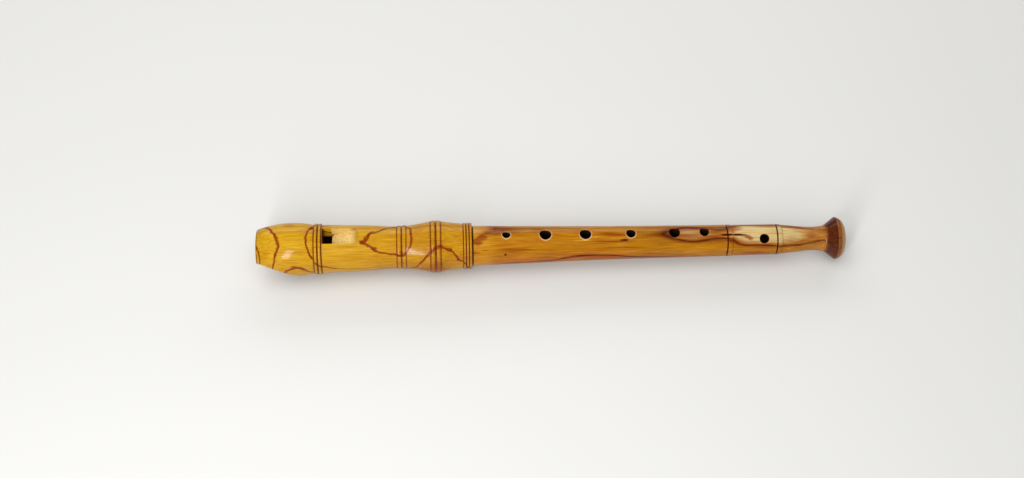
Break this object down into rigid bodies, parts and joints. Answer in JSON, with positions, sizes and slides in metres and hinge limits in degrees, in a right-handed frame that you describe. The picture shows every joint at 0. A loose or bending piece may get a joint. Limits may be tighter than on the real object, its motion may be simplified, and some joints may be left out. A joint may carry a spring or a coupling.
{
  "type": "soprano recorder",
  "caption": "Turned wooden soprano recorder: a head joint with a cedar block and window on a one-piece lower joint with a corked tenon and flared foot.",
  "frame": {"origin": "on the bore's axis, at the foot's flat end face", "axes": "+X runs along the bore from the beak to the foot and out of the foot's end, +Z is the front with the window and the finger holes up, -Y is the player's right, to which the seventh hole is turned"},
  "size_m": [0.32, 0.0288, 0.0286],
  "materials": {
    "head_wood": "lacquered olive wood, golden orange with dark growth rings, glossy",
    "block_cedar": "bare red cedar, matt",
    "cork": "natural cork sheet, lightly greased",
    "body_wood": "lacquered olive wood, yellow tan with brown streaks, glossy"
  },
  "bodies": {
    "lower_joint": {"lower_joint": "body_wood"},
    "tenon_cork": {"tenon_cork": "cork"},
    "head_joint": {"head_joint": "head_wood"},
    "block": {"block": "block_cedar"}
  },
  "joints": [
    {"name": "head_turn", "type": "hinge", "parent": "lower_joint", "child": "tenon_cork", "pos_m": [-0.2135, 0, 0], "axis": [1, 0, 0], "continuous": true},
    {"name": "head_pull", "type": "slide", "parent": "tenon_cork", "child": "head_joint", "axis": [-1, 0, 0], "range_m": [0, 0.024]},
    {"name": "block_slide", "type": "slide", "parent": "head_joint", "child": "block", "axis": [-1, 0, 0], "range_m": [0, 0.04]}
  ]
}
